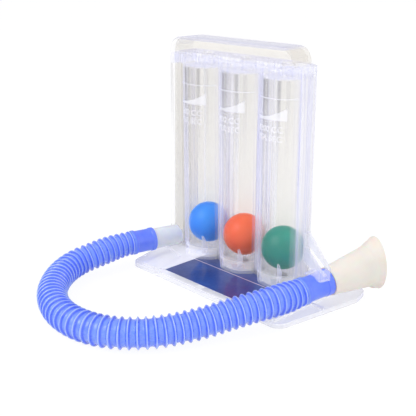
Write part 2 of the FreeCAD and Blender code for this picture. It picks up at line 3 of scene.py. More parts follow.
import bpy
import numpy as np
from mathutils import Euler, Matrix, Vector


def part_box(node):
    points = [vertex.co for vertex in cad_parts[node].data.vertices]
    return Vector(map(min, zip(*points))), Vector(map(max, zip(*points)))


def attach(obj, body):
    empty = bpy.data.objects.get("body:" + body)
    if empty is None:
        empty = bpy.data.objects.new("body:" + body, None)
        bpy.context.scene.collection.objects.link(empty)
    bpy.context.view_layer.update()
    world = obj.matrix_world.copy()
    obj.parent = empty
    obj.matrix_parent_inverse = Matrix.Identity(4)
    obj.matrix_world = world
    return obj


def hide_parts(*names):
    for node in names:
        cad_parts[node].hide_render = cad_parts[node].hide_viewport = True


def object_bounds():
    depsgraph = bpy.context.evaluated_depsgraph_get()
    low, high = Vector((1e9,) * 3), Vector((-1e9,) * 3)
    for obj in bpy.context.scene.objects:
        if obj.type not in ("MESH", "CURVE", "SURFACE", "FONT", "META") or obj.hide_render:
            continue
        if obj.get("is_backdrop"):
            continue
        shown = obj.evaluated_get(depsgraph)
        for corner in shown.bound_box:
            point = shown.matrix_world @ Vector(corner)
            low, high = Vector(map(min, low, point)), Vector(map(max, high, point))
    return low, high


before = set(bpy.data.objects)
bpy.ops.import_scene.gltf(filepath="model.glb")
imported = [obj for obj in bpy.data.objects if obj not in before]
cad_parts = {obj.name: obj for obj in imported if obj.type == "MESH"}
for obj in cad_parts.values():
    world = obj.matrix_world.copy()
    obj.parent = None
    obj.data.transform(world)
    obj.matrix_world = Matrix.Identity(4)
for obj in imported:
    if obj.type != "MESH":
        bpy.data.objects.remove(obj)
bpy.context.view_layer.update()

# Incentive spirometer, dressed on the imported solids. Lengths are in metres, +Z is up.

MM = 0.001


# Camera, floor and light

CAMERA_PLACE = (0.33657, -0.35352, 0.21157)
CAMERA_YAW = 46.48
CAMERA_PITCH = 18.53
CAMERA_ROLL = -0.14
CAMERA_LENS = 66.08
SENSOR = 36.0
NEAREST_SEEN = 0.01


def make_camera():
    """A camera on the photograph's line of sight, level but for a small roll."""
    data = bpy.data.cameras.new("view")
    data.lens = CAMERA_LENS
    data.sensor_width = SENSOR
    data.clip_start = NEAREST_SEEN
    camera = bpy.data.objects.new("view", data)
    camera.location = CAMERA_PLACE
    turn = Euler((math.radians(90 - CAMERA_PITCH), 0, math.radians(CAMERA_YAW)), "XYZ")
    camera.rotation_euler = turn
    camera.rotation_euler.rotate_axis("Z", math.radians(CAMERA_ROLL))
    bpy.context.scene.collection.objects.link(camera)
    bpy.context.scene.camera = camera


make_camera()


# Meshes

def link(name, mesh, material, body):
    """Puts a finished mesh into the scene on its body and gives it its finish."""
    piece = bpy.data.objects.new(name, mesh)
    bpy.context.scene.collection.objects.link(piece)
    mesh.materials.append(material)
    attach(piece, body)
    return piece


def grid_faces(rows, columns, wrap_rows=False):
    """Quads of a grid whose columns close on themselves, by row i and column j:
    corners (i, j), (i, j+1), (i+1, j+1), (i+1, j)."""
    count = rows if wrap_rows else rows - 1
    i, j = np.meshgrid(np.arange(count), np.arange(columns), indexing="ij")
    below = (i + 1) % rows
    beside = (j + 1) % columns
    here, lower = i * columns, below * columns
    quads = np.stack([here + j, here + beside, lower + beside, lower + j], -1)
    return quads.reshape(-1, 4)


def smooth_mesh(name, points, faces):
    """A mesh from arrays, with smooth shading."""
    mesh = bpy.data.meshes.new(name)
    mesh.from_pydata(points.reshape(-1, 3).tolist(), [], faces.tolist())
    mesh.shade_smooth()
    mesh.update()
    return mesh


def unit(vectors):
    """Each vector divided by its length."""
    return vectors / np.linalg.norm(vectors, axis=-1, keepdims=True)


# Materials

# Lavender edge colours are a painted sheen that stands in for backlight in the edges of clear plastic
EDGE_SHEEN_LAVENDER = (0.58, 0.60, 0.93, 1)
CLEAR = (0.94, 0.93, 0.90, 1)
WARM_CLEAR = (0.83, 0.795, 0.70, 1)
BASE_MILK = (0.94, 0.94, 0.97, 1)
BASE_EDGE_SHEEN = (0.60, 0.62, 0.97, 1)
HOLDER_MILK = (0.93, 0.93, 0.95, 1)
MARK_WHITE = (0.97, 0.97, 0.98, 1)
LAMP_TINT = (0.95, 0.95, 0.96, 1)
# Painted light on the clear columns: dark bars of painted shade, and pale and lavender painted reflections
PAINTED_BAR_DARK = (0.10, 0.10, 0.11, 1)
PAINTED_REFLECTION_PALE = (0.95, 0.95, 0.97, 1)
PAINTED_SHEEN_LAVENDER = (0.62, 0.64, 0.93, 1)
FROST = (0.92, 0.93, 0.97, 1)
FROST_PALE = (0.98, 0.98, 1.0, 1)
IVORY = (0.85, 0.77, 0.67, 1)
IVORY_PALE = (0.89, 0.82, 0.73, 1)
# Hose tones by the rib: painted light in the valley, painted shade on the flank, painted highlight on the
# ridge
HOSE_VALLEY_LIT = (0.21, 0.35, 1.0, 1)
HOSE_FLANK_SHADE = (0.10, 0.20, 1.0, 1)
HOSE_RIDGE_HIGHLIGHT = (0.42, 0.55, 1.0, 1)
CUFF_BLUE = (0.12, 0.22, 1.0, 1)
CUFF_PALE = (0.17, 0.28, 1.0, 1)
CARD_NAVY = (0.006, 0.028, 0.19, 1)
CARD_BLUE = (0.012, 0.06, 0.30, 1)
CARD_LINE = (0.75, 0.62, 0.68, 1)
BALL_COLOURS = {
    "ball_left": (0.0, 0.25, 0.95, 1),
    "ball_middle": (1.0, 0.11, 0.012, 1),
    "ball_right": (0.0, 0.25, 0.17, 1),
}


class Finish:
    """A node material under construction: one Principled shader and what drives its sockets."""

    def __init__(self, name):
        self.material = bpy.data.materials.new(name)
        self.material.use_nodes = True
        self.tree = self.material.node_tree
        self.shader = self.tree.nodes["Principled BSDF"]
        self.output = self.tree.nodes["Material Output"]

    def node(self, kind, **values):
        """A new node, with the named properties set."""
        made = self.tree.nodes.new(kind)
        for name, value in values.items():
            setattr(made, name, value)
        return made

    def wire(self, start, end):
        self.tree.links.new(start, end)

    def set(self, **numbers):
        """Plain numbers and colours on the shader's own sockets, by socket name with _ for a space."""
        for name, value in numbers.items():
            self.shader.inputs[name.replace("_", " ")].default_value = value

    def place(self):
        """The point on the object, in metres."""
        return self.node("ShaderNodeTexCoord").outputs["Object"]

    def grouped(self, group, **numbers):
        """A shared group placed in this material with its own numbers."""
        made = self.node("ShaderNodeGroup", node_tree=group)
        self.wire(self.place(), made.inputs["Place"])
        for name, value in numbers.items():
            made.inputs[name.replace("_", " ")].default_value = value
        return made

    def blend(self, factor, first, second):
        """A colour between two colours or colour sockets, by a factor socket."""
        mix = self.node("ShaderNodeMix", data_type="RGBA")
        self.wire(factor, mix.inputs["Factor"])
        for socket, colour in ((mix.inputs[6], first), (mix.inputs[7], second)):
            if isinstance(colour, tuple):
                socket.default_value = colour
            else:
                self.wire(colour, socket)
        return mix.outputs[2]

    def combine(self, operation, first, second):
        """Two values joined by a math operation."""
        made = self.node("ShaderNodeMath", operation=operation)
        self.wire(first, made.inputs[0])
        self.wire(second, made.inputs[1])
        return made.outputs[0]

    def ramp(self, value, low, high, to_low=0.0, to_high=1.0):
        """Value moved from the range low to high onto to_low to to_high, held at the ends."""
        part = self.node("ShaderNodeMapRange")
        self.wire(value, part.inputs["Value"])
        ends = {"From Min": low, "From Max": high, "To Min": to_low, "To Max": to_high}
        for name, number in ends.items():
            part.inputs[name].default_value = number
        return part.outputs["Result"]


def fill_bands(node, stops):
    """Sets the stops of a colour ramp, each a position and a colour."""
    elements = node.color_ramp.elements
    while len(elements) < len(stops):
        elements.new(0.5)
    for element, (position, colour) in zip(elements, stops):
        element.position = position
        element.color = colour


def new_group(name, inputs, outputs):
    """A shader node group with float inputs, a vector Place and named outputs."""
    group = bpy.data.node_groups.new(name, "ShaderNodeTree")
    group.interface.new_socket("Place", in_out="INPUT", socket_type="NodeSocketVector")
    for label in inputs:
        group.interface.new_socket(label, in_out="INPUT", socket_type="NodeSocketFloat")
    for label in outputs:
        group.interface.new_socket(label, in_out="OUTPUT", socket_type="NodeSocketFloat")
    return group, group.nodes.new("NodeGroupInput"), group.nodes.new("NodeGroupOutput")


FINE_TIMES = 9.0
FINE_SHARE = 0.12
NOISE_LOW, NOISE_HIGH = 0.35, 0.65


def make_moulding_group():
    """Moulded plastic: a slow swing of the gloss, and a faint uneven height like flow marks.
    The height is a broad noise plus FINE_SHARE of one that is FINE_TIMES as fine."""
    inputs = ("Size", "Gloss Low", "Gloss High")
    group, start, end = new_group("moulding", inputs, ("Roughness", "Height"))
    nodes, links = group.nodes, group.links
    broad = nodes.new("ShaderNodeTexNoise")
    broad.inputs["Detail"].default_value = 3.0
    fine = nodes.new("ShaderNodeTexNoise")
    fine.inputs["Detail"].default_value = 5.0
    finer = nodes.new("ShaderNodeMath")
    finer.operation = "MULTIPLY"
    finer.inputs[1].default_value = FINE_TIMES
    spread = nodes.new("ShaderNodeMapRange")
    spread.inputs["From Min"].default_value = NOISE_LOW
    spread.inputs["From Max"].default_value = NOISE_HIGH
    heap = nodes.new("ShaderNodeMath")
    heap.operation = "MULTIPLY_ADD"
    heap.inputs[1].default_value = FINE_SHARE
    for texture in (broad, fine):
        links.new(start.outputs["Place"], texture.inputs["Vector"])
    links.new(start.outputs["Size"], broad.inputs["Scale"])
    links.new(start.outputs["Size"], finer.inputs[0])
    links.new(finer.outputs[0], fine.inputs["Scale"])
    links.new(broad.outputs["Fac"], spread.inputs["Value"])
    links.new(start.outputs["Gloss Low"], spread.inputs["To Min"])
    links.new(start.outputs["Gloss High"], spread.inputs["To Max"])
    links.new(spread.outputs["Result"], end.inputs["Roughness"])
    links.new(fine.outputs["Fac"], heap.inputs[0])
    links.new(broad.outputs["Fac"], heap.inputs[2])
    links.new(heap.outputs[0], end.inputs["Height"])
    return group


MOULDING = make_moulding_group()

# Where the clear columns' structure lies and where light and shade are painted on it, in metres

COLUMN_PITCH = 0.035
BORE_HALF = 0.0146
SIDE_WALL = 0.0485
BLOCK_HALF = 0.0525
CAP_LOW, CAP_HIGH = 0.1402, 0.1475
THIN_EDGE, BROAD_EDGE = 0.0004, 0.0006
CAP_OVERLAP = 0.0003
PAINTED_BAR_FADE = 0.06, 0.138
PAINTED_BAR_TURNS = math.radians(-43.5), math.radians(48)
PAINTED_STREAK_SCALE = 620.0
PAINTED_STREAK_STRETCH = (1, 1, 0.012)
PAINTED_STREAK_RANGE = 0.42, 0.66
# Along the turn from left to right, as shares of the way: how dark each painted bar of shade is
PAINTED_BAR_STOPS = [
    (0.0, 0.12), (0.25, 0.1), (0.28, 1.0), (0.35, 0.85), (0.38, 0.35),
    (0.53, 0.4), (0.56, 0.05), (0.67, 0.05), (0.69, 0.75), (0.75, 0.6),
    (0.78, 0.0), (0.86, 0.05), (0.89, 0.4), (0.97, 0.35), (1.0, 0.0),
]


def make_column_painted_light_group():
    """Painted light on the clear columns. The bars output holds the upright dark bars on the left of each
    front, by the turn round the column, fading downward: painted shade for dark surroundings refracted in
    the thick wall. Between marks the solid webs and the side wall, and Cap the thick top of each column:
    real plastic whose milky look and bright lip are painted reflection and painted highlight. The last
    output is a fine upright noise of painted reflection streaks."""
    group, start, end = new_group("column_painted_light", (), ("Painted Bars", "Between", "Cap", "Painted Streaks"))
    nodes, links = group.nodes, group.links

    def step(operation, *values):
        made = nodes.new("ShaderNodeMath")
        made.operation = operation
        for socket, value in zip(made.inputs, values):
            if isinstance(value, float):
                socket.default_value = value
            else:
                links.new(value, socket)
        return made.outputs[0]

    def fade(value, low, high):
        made = nodes.new("ShaderNodeMapRange")
        made.interpolation_type = "SMOOTHSTEP"
        links.new(value, made.inputs["Value"])
        made.inputs["From Min"].default_value = low
        made.inputs["From Max"].default_value = high
        return made.outputs["Result"]

    parts = nodes.new("ShaderNodeSeparateXYZ")
    links.new(start.outputs["Place"], parts.inputs["Vector"])
    across, height = parts.outputs["X"], parts.outputs["Z"]
    local = step("WRAP", across, COLUMN_PITCH / 2, -COLUMN_PITCH / 2)
    turn = step("ARCTAN2", local, step("MULTIPLY", parts.outputs["Y"], -1.0))
    way = nodes.new("ShaderNodeMapRange")
    links.new(turn, way.inputs["Value"])
    way.inputs["From Min"].default_value = PAINTED_BAR_TURNS[0]
    way.inputs["From Max"].default_value = PAINTED_BAR_TURNS[1]
    # Painted shade: dark bars that stand for dark surroundings refracted in the thick wall
    bars = nodes.new("ShaderNodeValToRGB")
    fill_bands(bars, [(position, (grey, grey, grey, 1)) for position, grey in PAINTED_BAR_STOPS])
    links.new(way.outputs["Result"], bars.inputs["Fac"])
    below_cap = fade(height, CAP_LOW, CAP_LOW - THIN_EDGE)
    down = step("MULTIPLY", fade(height, *PAINTED_BAR_FADE), below_cap)
    links.new(step("MULTIPLY", bars.outputs["Color"], down), end.inputs["Painted Bars"])
    # The webs, the side wall and the caps are real solid plastic; their milky look and bright lip are
    # painted reflection and painted highlight
    web = fade(step("ABSOLUTE", local), BORE_HALF, BORE_HALF + THIN_EDGE)
    inside = fade(across, -BLOCK_HALF, THIN_EDGE - BLOCK_HALF)
    web = step("MULTIPLY", web, inside)
    side = fade(across, SIDE_WALL, SIDE_WALL + BROAD_EDGE)
    under = fade(height, CAP_HIGH + CAP_OVERLAP, CAP_HIGH)
    links.new(step("MULTIPLY", step("MAXIMUM", web, side), under), end.inputs["Between"])
    cap_from = fade(height, CAP_LOW - BROAD_EDGE, CAP_LOW)
    cap_to = fade(height, CAP_HIGH, CAP_HIGH - BROAD_EDGE)
    links.new(step("MULTIPLY", cap_from, cap_to), end.inputs["Cap"])
    # A fine upright noise of painted reflection streaks for the webs and the caps
    squeeze = nodes.new("ShaderNodeVectorMath")
    squeeze.operation = "MULTIPLY"
    squeeze.inputs[1].default_value = PAINTED_STREAK_STRETCH
    links.new(start.outputs["Place"], squeeze.inputs[0])
    painted_streak_noise = nodes.new("ShaderNodeTexNoise")
    painted_streak_noise.inputs["Scale"].default_value = PAINTED_STREAK_SCALE
    painted_streak_noise.inputs["Detail"].default_value = 2.0
    links.new(squeeze.outputs[0], painted_streak_noise.inputs["Vector"])
    links.new(fade(painted_streak_noise.outputs["Fac"], *PAINTED_STREAK_RANGE), end.inputs["Painted Streaks"])
    return group


COLUMN_PAINTED_LIGHT = make_column_painted_light_group()


def dress(finish, size, gloss, bump, height):
    """Gives a finish its uneven gloss, between two roughnesses, and its faint relief."""
    skin = finish.grouped(MOULDING, Size=size, Gloss_Low=gloss[0], Gloss_High=gloss[1])
    relief = finish.node("ShaderNodeBump")
    relief.inputs["Strength"].default_value = bump
    relief.inputs["Distance"].default_value = height
    finish.wire(skin.outputs["Height"], relief.inputs["Height"])
    finish.wire(skin.outputs["Roughness"], finish.shader.inputs["Roughness"])
    finish.wire(relief.outputs["Normal"], finish.shader.inputs["Normal"])


def let_lamps_through(finish, colour):
    """Rays from lamps pass a clear wall, so that what it holds is lit."""
    path = finish.node("ShaderNodeLightPath")
    passing = finish.node("ShaderNodeBsdfTransparent")
    passing.inputs["Color"].default_value = colour
    choice = finish.node("ShaderNodeMixShader")
    finish.wire(path.outputs["Is Shadow Ray"], choice.inputs["Fac"])
    finish.wire(finish.shader.outputs["BSDF"], choice.inputs[1])
    finish.wire(passing.outputs["BSDF"], choice.inputs[2])
    finish.wire(choice.outputs["Shader"], finish.output.inputs["Surface"])


FACE_ON, EDGE_ON = 0.5, 0.95
LEAST_PAINTED_STREAK = 0.55
GLOSSY = 0.02, 0.06
SATIN = 0.08, 0.16
SOFT = 0.15, 0.25


def clear_plastic(name, body_colour, edge_sheen_colour, veil, rim=0.75, gloss=GLOSSY, marks=None, glow=0.0):
    """Polystyrene: clear face on, milky where the eye runs along a wall, with a painted lavender sheen at
    the edges that stands in for backlight. Veil is how much of a wall is seen face on, and rim how much of
    it along an edge.
    Marks gives how far the painted dark bars, the webs with their painted reflection and the caps with
    their painted highlight are seen. Glow is painted light: an emission that stands in for light the
    plastic carries from elsewhere."""
    finish = Finish(name)
    finish.set(Transmission_Weight=0.25, IOR=1.2, Coat_Weight=0.4, Coat_IOR=1.5, Coat_Roughness=0.04)
    # The plastic's colour, wired below, glows: painted light standing in for light carried through the
    # plastic
    finish.set(Emission_Strength=glow)
    facing = finish.node("ShaderNodeLayerWeight")
    facing.inputs["Blend"].default_value = 0.5
    # Toward grazing angles the colour turns to the edge colour: a painted sheen that stands in for
    # backlight
    edge = finish.ramp(facing.outputs["Facing"], FACE_ON, EDGE_ON)
    colour = finish.blend(edge, body_colour, edge_sheen_colour)
    seen = finish.ramp(facing.outputs["Facing"], FACE_ON, EDGE_ON, veil, rim)
    if marks:
        # Painted light on the columns: painted dark bars of shade on the fronts, painted reflection and
        # highlight on the webs and caps
        group = finish.grouped(COLUMN_PAINTED_LIGHT)
        web = finish.blend(group.outputs["Painted Streaks"], PAINTED_REFLECTION_PALE, PAINTED_SHEEN_LAVENDER)
        colour = finish.blend(group.outputs["Between"], colour, web)
        colour = finish.blend(group.outputs["Cap"], colour, web)
        colour = finish.blend(group.outputs["Painted Bars"], colour, PAINTED_BAR_DARK)
        bars, *solid = marks
        dark = finish.ramp(group.outputs["Painted Bars"], 0.0, 1.0, 0.0, bars)
        seen = finish.combine("MAXIMUM", seen, dark)
        for share, mark in zip(solid, ("Between", "Cap")):
            amount = finish.ramp(group.outputs["Painted Streaks"], 0.0, 1.0, LEAST_PAINTED_STREAK * share, share)
            here = finish.combine("MULTIPLY", group.outputs[mark], amount)
            seen = finish.combine("MAXIMUM", seen, here)
    finish.wire(colour, finish.shader.inputs["Base Color"])
    finish.wire(colour, finish.shader.inputs["Emission Color"])
    finish.wire(seen, finish.shader.inputs["Alpha"])
    dress(finish, size=60.0, gloss=gloss, bump=0.03, height=0.05 * MM)
    let_lamps_through(finish, LAMP_TINT)
    return finish.material


def frosted_plastic(name):
    """Milky polythene of the outlet stub."""
    finish = Finish(name)
    finish.set(Transmission_Weight=0.05, IOR=1.45, Alpha=0.9)
    finish.set(Subsurface_Weight=0.4, Subsurface_Scale=0.003)
    skin = finish.grouped(MOULDING, Size=150.0, Gloss_Low=0.0, Gloss_High=1.0)
    cloud = finish.blend(skin.outputs["Roughness"], FROST, FROST_PALE)
    finish.wire(cloud, finish.shader.inputs["Base Color"])
    dress(finish, size=260.0, gloss=(0.38, 0.5), bump=0.4, height=0.2 * MM)
    return finish.material


PALE_TIMES, PALE_PLUS = 1.22, 0.01


def ball_plastic(name, colour):
    """A soft-gloss ball: the colour mottles a little, and a hair of relief breaks its highlight."""
    finish = Finish(name)
    finish.set(IOR=1.46, Subsurface_Weight=0.15, Subsurface_Scale=0.002)
    skin = finish.grouped(MOULDING, Size=70.0, Gloss_Low=0.0, Gloss_High=1.0)
    pale = tuple(min(1.0, channel * PALE_TIMES + PALE_PLUS) for channel in colour[:3]) + (1,)
    mottled = finish.blend(skin.outputs["Roughness"], colour, pale)
    finish.wire(mottled, finish.shader.inputs["Base Color"])
    dress(finish, size=400.0, gloss=(0.38, 0.48), bump=0.3, height=0.1 * MM)
    return finish.material


# Painted light along each rib by its Crest: lighter valleys, shaded flanks, highlighted ridges
HOSE_PAINTED_LIGHT = [(0.02, HOSE_VALLEY_LIT), (0.22, HOSE_FLANK_SHADE), (0.6, HOSE_FLANK_SHADE), (0.95, HOSE_RIDGE_HIGHLIGHT)]


def hose_plastic():
    """Blue polythene with painted light by the Crest attribute: lighter painted valleys, painted shade on
    the flanks, a painted highlight on the ridges.
    """
    finish = Finish("hose_plastic")
    finish.set(IOR=1.5, Subsurface_Weight=0.3, Subsurface_Scale=0.002, Coat_Weight=0.35)
    finish.set(Coat_Roughness=0.12, Subsurface_Radius=(0.3, 0.45, 1.0))
    crest = finish.node("ShaderNodeAttribute", attribute_name="Crest")
    skin = finish.grouped(MOULDING, Size=120.0, Gloss_Low=-0.08, Gloss_High=0.08)
    level = finish.node("ShaderNodeMath", operation="ADD", use_clamp=True)
    finish.wire(crest.outputs["Fac"], level.inputs[0])
    finish.wire(skin.outputs["Roughness"], level.inputs[1])
    painted_light_bands = finish.node("ShaderNodeValToRGB")
    fill_bands(painted_light_bands, HOSE_PAINTED_LIGHT)
    finish.wire(level.outputs[0], painted_light_bands.inputs["Fac"])
    finish.wire(painted_light_bands.outputs["Color"], finish.shader.inputs["Base Color"])
    dress(finish, size=300.0, gloss=(0.25, 0.38), bump=0.2, height=0.1 * MM)
    return finish.material


def cuff_plastic():
    """The hose's plain cuffs: the same blue, a little denser and mottled."""
    finish = Finish("cuff_plastic")
    finish.set(IOR=1.5, Coat_Weight=0.2, Coat_Roughness=0.2)
    finish.set(Subsurface_Weight=0.3, Subsurface_Scale=0.004)
    skin = finish.grouped(MOULDING, Size=90.0, Gloss_Low=0.0, Gloss_High=1.0)
    mottled = finish.blend(skin.outputs["Roughness"], CUFF_BLUE, CUFF_PALE)
    finish.wire(mottled, finish.shader.inputs["Base Color"])
    dress(finish, size=320.0, gloss=(0.3, 0.42), bump=0.2, height=0.1 * MM)
    return finish.material


def ivory_plastic():
    """The mouthpiece: warm white polythene that lets a little light in."""
    finish = Finish("ivory_plastic")
    finish.set(IOR=1.5, Subsurface_Weight=0.5, Subsurface_Scale=0.006)
    skin = finish.grouped(MOULDING, Size=45.0, Gloss_Low=0.0, Gloss_High=1.0)
    mottled = finish.blend(skin.outputs["Roughness"], IVORY, IVORY_PALE)
    finish.wire(mottled, finish.shader.inputs["Base Color"])
    dress(finish, size=240.0, gloss=(0.38, 0.5), bump=0.3, height=0.1 * MM)
    return finish.material


CARD_LINE_PLACE = -17.5 * MM
CARD_LINE_HALF = 0.35 * MM
CARD_LINE_CORE = 0.6


def card_print():
    """The card in the platform: dark blue on glossy stock, with one thin pale line along it."""
    finish = Finish("card_print")
    finish.set(IOR=1.5, Coat_Weight=0.6, Coat_Roughness=0.08)
    parts = finish.node("ShaderNodeSeparateXYZ")
    finish.wire(finish.place(), parts.inputs["Vector"])
    away = finish.node("ShaderNodeMath", operation="SUBTRACT")
    away.inputs[1].default_value = CARD_LINE_PLACE
    finish.wire(parts.outputs["Y"], away.inputs[0])
    size = finish.node("ShaderNodeMath", operation="ABSOLUTE")
    finish.wire(away.outputs[0], size.inputs[0])
    pale_line = finish.ramp(size.outputs[0], CARD_LINE_HALF, CARD_LINE_HALF * CARD_LINE_CORE)
    skin = finish.grouped(MOULDING, Size=35.0, Gloss_Low=0.0, Gloss_High=1.0)
    ground = finish.blend(skin.outputs["Roughness"], CARD_NAVY, CARD_BLUE)
    finish.wire(finish.blend(pale_line, ground, CARD_LINE), finish.shader.inputs["Base Color"])
    dress(finish, size=500.0, gloss=(0.3, 0.4), bump=0.1, height=0.05 * MM)
    return finish.material


# The hose: the route's points are those of the solid, in millimetres here

HOSE_ROUTE = [
    (-66.65, -44.69, 16.5),
    (-68.80, -53.43, 16.5),
    (-70.9, -72.0, 14.5),
    (-74.0, -90.0, 11.2),
    (-64.0, -109.5, 9.8),
    (-43.0, -128.0, 9.65),
    (-15.0, -138.0, 9.65),
    (14.0, -134.5, 9.65),
    (36.0, -117.0, 9.65),
    (49.0, -90.0, 10.6),
    (58.5, -66.0, 14.2),
    (66.0, -46.0, 16.2),
    (68.38, -31.58, 16.17),
    (70.41, -22.87, 17.19),
]
HOSE_CREST = 9.5 * MM
HOSE_ENDS = (8.5 * MM, 8.6 * MM)
END_PLAIN = 3.5 * MM
END_RUNS = (25 * MM, 12 * MM)
RIB_DEPTH = 1.7 * MM
HOSE_BORE = 5.4 * MM
PITCH_AT_ENDS = 4.0 * MM
PITCH_STRETCH = 0.85 * MM
RIDGE_SHARE = 0.17
RINGS_PER_RIB = 16
HOSE_SIDES = 64
LINE_STEPS_PER_SPAN = 24
PITCH_SAMPLES = 4001


def route_line():
    """The smooth line of the hose, read from a NURBS spline whose control points are the route."""
    curve = bpy.data.curves.new("hose_line", "CURVE")
    curve.dimensions = "3D"
    spline = curve.splines.new("NURBS")
    spline.points.add(len(HOSE_ROUTE) - 1)
    for point, place in zip(spline.points, HOSE_ROUTE):
        point.co = (place[0] * MM, place[1] * MM, place[2] * MM, 1)
    spline.order_u = 3
    spline.use_endpoint_u = True
    spline.resolution_u = LINE_STEPS_PER_SPAN
    holder = bpy.data.objects.new("hose_line", curve)
    bpy.context.scene.collection.objects.link(holder)
    mesh = bpy.data.meshes.new_from_object(holder)
    line = np.array([v.co for v in mesh.vertices])
    bpy.data.objects.remove(holder)
    bpy.data.meshes.remove(mesh)
    return line


def along(line, distances):
    """Points at the given distances along a line, and the line's length."""
    steps = np.linalg.norm(np.diff(line, axis=0), axis=1)
    run = np.concatenate([[0], np.cumsum(steps)])
    return np.stack([np.interp(distances, run, line[:, axis]) for axis in range(3)], -1), run[-1]


def crest_radius(distance, total):
    """The radius over the ribs: full in the middle, drawn in smoothly towards each end."""
    radius = np.full(len(distance), HOSE_CREST)
    for away, small, run in zip((distance, total - distance), HOSE_ENDS, END_RUNS):
        part = np.clip(away / run, 0, 1)
        radius -= (HOSE_CREST - small) * (1 - part * part * (3 - 2 * part))
    return radius


def make_hose():
    """A skin round the line: point(s, a) = line(s) + radius(s) (side cos a + rise sin a).
    Each rib is a narrow round ridge, exp(-(u / RIDGE_SHARE)^2) at u pitches from its middle, on a
    flat valley that rises to the ridges over the last END_PLAIN at both ends. The ribs lie closest
    at the ends, with a pitch that swells as half a sine between them. The bore runs back inside
    and closes the mesh."""
    line = route_line()
    total = along(line, np.zeros(1))[1]
    fine = np.linspace(0, total, PITCH_SAMPLES)
    pitch = PITCH_AT_ENDS + PITCH_STRETCH * np.sin(np.pi * fine / total)
    count = np.concatenate([[0], np.cumsum(np.diff(fine) / pitch[1:])])
    ribs = round(count[-1])
    phase = np.linspace(0, ribs, ribs * RINGS_PER_RIB + 1)
    distance = np.interp(phase, count * ribs / count[-1], fine)
    centre = along(line, distance)[0]
    heading = unit(np.gradient(centre, axis=0))
    side = unit(np.cross(heading, (0.0, 0.0, 1.0)))
    rise = np.cross(side, heading)
    crest = np.exp(-((phase % 1 - 0.5) / RIDGE_SHARE) ** 2)
    depth = RIB_DEPTH * np.clip(np.minimum(distance, total - distance) / END_PLAIN, 0, 1)
    outer = crest_radius(distance, total) - depth * (1 - crest)
    angle = np.linspace(0, 2 * np.pi, HOSE_SIDES, endpoint=False)
    back = slice(None, None, -RINGS_PER_RIB)
    radius = np.concatenate([outer, np.full(len(outer[back]), HOSE_BORE)])
    mark = np.concatenate([crest, np.zeros(len(outer[back]))])
    middle = np.concatenate([centre, centre[back]])
    across = np.concatenate([side, side[back]])
    upward = np.concatenate([rise, rise[back]])
    ring = across[:, None] * np.cos(angle)[:, None] + upward[:, None] * np.sin(angle)[:, None]
    points = middle[:, None] + radius[:, None, None] * ring
    faces = grid_faces(len(radius), HOSE_SIDES, wrap_rows=True)
    mesh = smooth_mesh("corrugated_hose", points, faces)
    level = mesh.attributes.new("Crest", "FLOAT", "POINT")
    level.data.foreach_set("value", np.repeat(mark, HOSE_SIDES).astype(np.float32))
    hose = link("corrugated_hose", mesh, hose_plastic(), "housing")
    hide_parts("hose")


make_hose()


# Marks raised on the column fronts

COLUMNS = {"left": "600 CC", "middle": "900 CC", "right": "1200 CC"}
RATE_LINE = "PER SEC"
MARK_PROUD = 0.3 * MM
MARK_SINK = 0.15 * MM
WEDGE_LOW = 116.3 * MM
WEDGE_THIN = 1.3 * MM
WEDGE_RISE = 6.4 * MM
WEDGE_POWER = 2.5
WEDGE_FROM = math.radians(-40)
WEDGE_TO = math.radians(41)
RING_REACH = math.radians(62)
RING_HEIGHT = 129 * MM
RING_WIDE = 0.45 * MM
BAND_STEPS = 40
CAPITAL_SHARE = 0.7
LETTER_TALL = 3.7 * MM
LINE_WIDE = 18.6 * MM
LINE_HEIGHTS = (109.0 * MM, 103.3 * MM)

COLUMN_RADIUS = -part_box("front_shell")[0][1]


def column_axis(side):
    """Where a column stands, from the box of its ball."""
    low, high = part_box("ball_" + side)
    return (low + high) / 2


def wrapped(turn, height, proud, axis):
    """Points on the column front, proud of its wall, with the turn measured from straight ahead:
    point = axis + radius (sin turn, -cos turn), at the height."""
    radius = COLUMN_RADIUS + proud
    across = axis[0] + radius * np.sin(turn)
    ahead = axis[1] - radius * np.cos(turn)
    return np.stack([across, ahead, height], -1)


def raised_band(name, side, turn, low, high):
    """A band with its own lower and upper edge at each turn, standing MARK_PROUD off the wall.
    Its section is a closed loop of four corners, and its two ends are closed by a face each."""
    axis = column_axis(side)
    corners = [(low, -MARK_SINK), (low, MARK_PROUD), (high, MARK_PROUD), (high, -MARK_SINK)]
    loop = np.stack([wrapped(turn, height, proud, axis) for height, proud in corners], 1)
    count = len(turn)
    sides = len(corners)
    faces = grid_faces(count, sides).tolist()
    faces.append(list(range(sides))[::-1])
    faces.append(list(range(sides * (count - 1), sides * count)))
    mesh = bpy.data.meshes.new(name)
    mesh.from_pydata(loop.reshape(-1, 3).tolist(), [], faces)
    mesh.update()
    return link(name, mesh, MARK_FINISH, "housing")


def make_wedge(side):
    """The rising wedge: its upper edge climbs as the power WEDGE_POWER of the way along."""
    turn = np.linspace(WEDGE_FROM, WEDGE_TO, BAND_STEPS)
    part = (turn - WEDGE_FROM) / (WEDGE_TO - WEDGE_FROM)
    low = np.full(len(turn), WEDGE_LOW)
    high = low + WEDGE_THIN + WEDGE_RISE * part ** WEDGE_POWER
    raised_band("wedge_" + side, side, turn, low, high)


def make_ring(side):
    """The hairline round the column front above the wedge."""
    turn = np.linspace(-RING_REACH, RING_REACH, BAND_STEPS)
    low = np.full(len(turn), RING_HEIGHT)
    raised_band("ring_" + side, side, turn, low, low + RING_WIDE)


